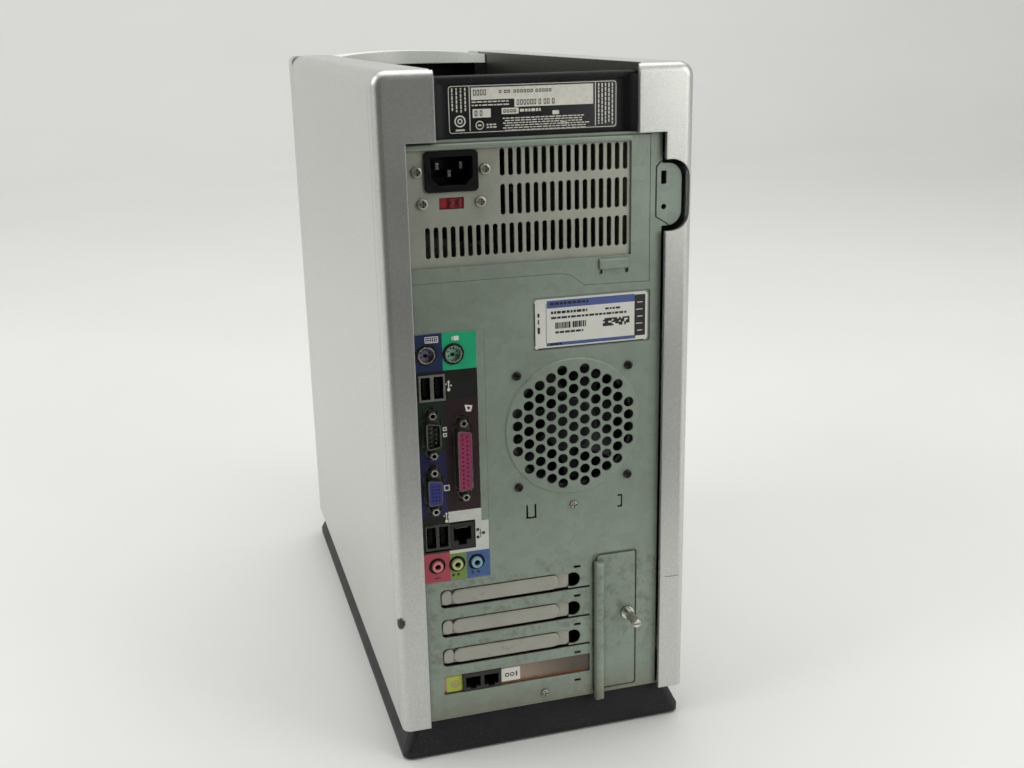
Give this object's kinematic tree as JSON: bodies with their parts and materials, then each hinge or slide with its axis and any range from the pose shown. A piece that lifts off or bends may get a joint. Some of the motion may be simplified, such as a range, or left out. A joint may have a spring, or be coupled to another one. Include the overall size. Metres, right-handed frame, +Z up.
{
  "type": "desktop computer tower",
  "caption": "Mid-size tower computer in silver plastic shells on a black plinth, with its rear connectors, fans, drives and board inside.",
  "frame": {"origin": "on the floor, at the middle of the tower's outline seen from above", "axes": "+Z up, +Y out of the rear panel, +X towards the fixed side shell, front towards -Y"},
  "size_m": [0.1906, 0.424, 0.432],
  "materials": {
    "black_plastic": "moulded, light grain",
    "rubber": "matte",
    "galvanized": "zinc-coated sheet, dull",
    "psu_steel": "zinc-coated sheet",
    "silver_plastic": "silver paint, satin",
    "graphite_plastic": "satin",
    "gloss_black": "gloss",
    "button_silver": "satin",
    "light_pipe": "clear tinted",
    "drive_steel": "plain",
    "drive_plastic": "satin",
    "cast_alloy": "cast",
    "fan_black": "moulded",
    "inlet_black": "moulded",
    "nickel": "plated",
    "brass": "plain",
    "red_plastic": "moulded",
    "board_green": "lacquered",
    "chip_package": "ceramic",
    "aluminium": "extruded",
    "socket_plastic": "moulded",
    "memory_green": "lacquered",
    "cover_steel": "nickel plated, worn",
    "jack_black": "moulded",
    "connector_metal": "tin plated",
    "print_sheet": "printed film",
    "label_paper": "printed label",
    "audio_plastic": "moulded",
    "lead_grey": "sleeved wires"
  },
  "bodies": {
    "tower": {"base_stand": "black_plastic", "rubber_feet": "rubber", "chassis_floor": "galvanized", "chassis_top": "galvanized", "chassis_rear_panel": "galvanized", "chassis_front_wall": "galvanized", "motherboard_tray": "galvanized", "psu_bracket": "galvanized", "drive_cage": "galvanized", "side_shell": "silver_plastic", "top_cover": "gloss_black", "front_bezel": "silver_plastic", "bezel_rim": "silver_plastic", "centre_panel": "graphite_plastic", "bay_blank": "graphite_plastic", "status_lights": "light_pipe", "front_ports": "jack_black", "optical_drive": "drive_steel", "optical_front": "drive_plastic", "floppy_drive": "drive_plastic", "hard_drive": "cast_alloy", "psu_case": "psu_steel", "iec_inlet": "inlet_black", "iec_pins": "nickel", "voltage_switch_body": "inlet_black", "case_fan_frame": "fan_black", "motherboard": "board_green", "board_standoffs": "brass", "processor": "chip_package", "heatsink": "aluminium", "cpu_fan_frame": "fan_black", "board_sockets": "socket_plastic", "memory_modules": "memory_green", "modem_card": "cover_steel", "phone_jacks": "jack_black", "slot_covers": "cover_steel", "io_plate": "galvanized", "io_label": "print_sheet", "ps2_ports": "jack_black", "usb_ports": "connector_metal", "serial_port": "connector_metal", "parallel_port": "connector_metal", "video_port": "connector_metal", "network_port": "jack_black", "audio_jacks": "audio_plastic", "rear_labels": "label_paper", "rear_screws": "nickel", "drive_power_lead": "lead_grey"},
    "access_cover": {"access_cover": "silver_plastic"},
    "power_button": {"power_button": "button_silver"},
    "optical_tray": {"optical_tray": "drive_plastic"},
    "optical_eject_button": {"optical_eject_button": "drive_plastic"},
    "floppy_eject_button": {"floppy_eject_button": "drive_plastic"},
    "port_door": {"port_door": "graphite_plastic"},
    "case_fan_rotor": {"case_fan_rotor": "fan_black"},
    "psu_fan_rotor": {"psu_fan_rotor": "fan_black"},
    "cpu_fan_rotor": {"cpu_fan_rotor": "fan_black"},
    "voltage_slider": {"voltage_slider": "red_plastic"},
    "slot_clamp": {"slot_clamp": "galvanized"},
    "thumbscrew": {"thumbscrew": "nickel"}
  },
  "joints": [
    {"name": "access_cover_slide", "type": "slide", "parent": "tower", "child": "access_cover", "axis": [0, 1, 0], "range_m": [0, 0.4]},
    {"name": "power_button_press", "type": "slide", "parent": "tower", "child": "power_button", "axis": [0, 1, 0], "range_m": [0, 0.003], "stiffness_N_per_m": 300},
    {"name": "optical_tray_slide", "type": "slide", "parent": "tower", "child": "optical_tray", "axis": [0, -1, 0], "range_m": [0, 0.135]},
    {"name": "optical_eject_press", "type": "slide", "parent": "tower", "child": "optical_eject_button", "axis": [0, 1, 0], "range_m": [0, 0.001], "stiffness_N_per_m": 300},
    {"name": "floppy_eject_press", "type": "slide", "parent": "tower", "child": "floppy_eject_button", "axis": [0, 1, 0], "range_m": [0, 0.0025], "stiffness_N_per_m": 300},
    {"name": "port_door_hinge", "type": "hinge", "parent": "tower", "child": "port_door", "pos_m": [0, -0.2056, 0.0642], "axis": [1, 0, 0], "range_deg": [0, 90]},
    {"name": "case_fan_spin", "type": "hinge", "parent": "tower", "child": "case_fan_rotor", "pos_m": [-0.0205, 0.175, 0.21425], "axis": [0, 1, 0], "continuous": true},
    {"name": "psu_fan_spin", "type": "hinge", "parent": "tower", "child": "psu_fan_rotor", "pos_m": [0.01025, 0.06, 0.34595], "axis": [0, 1, 0], "continuous": true},
    {"name": "cpu_fan_spin", "type": "hinge", "parent": "tower", "child": "cpu_fan_rotor", "pos_m": [0.03, 0.105, 0.215], "axis": [1, 0, 0], "continuous": true},
    {"name": "voltage_slider_slide", "type": "slide", "parent": "tower", "child": "voltage_slider", "axis": [1, 0, 0], "range_m": [0, 0.005]},
    {"name": "slot_clamp_slide", "type": "slide", "parent": "tower", "child": "slot_clamp", "axis": [0, 1, 0], "range_m": [0, 0.03]},
    {"name": "thumbscrew_turn", "type": "hinge", "parent": "slot_clamp", "child": "thumbscrew", "pos_m": [-0.0564, 0.2, 0.0825], "axis": [0, 1, 0], "continuous": true}
  ]
}
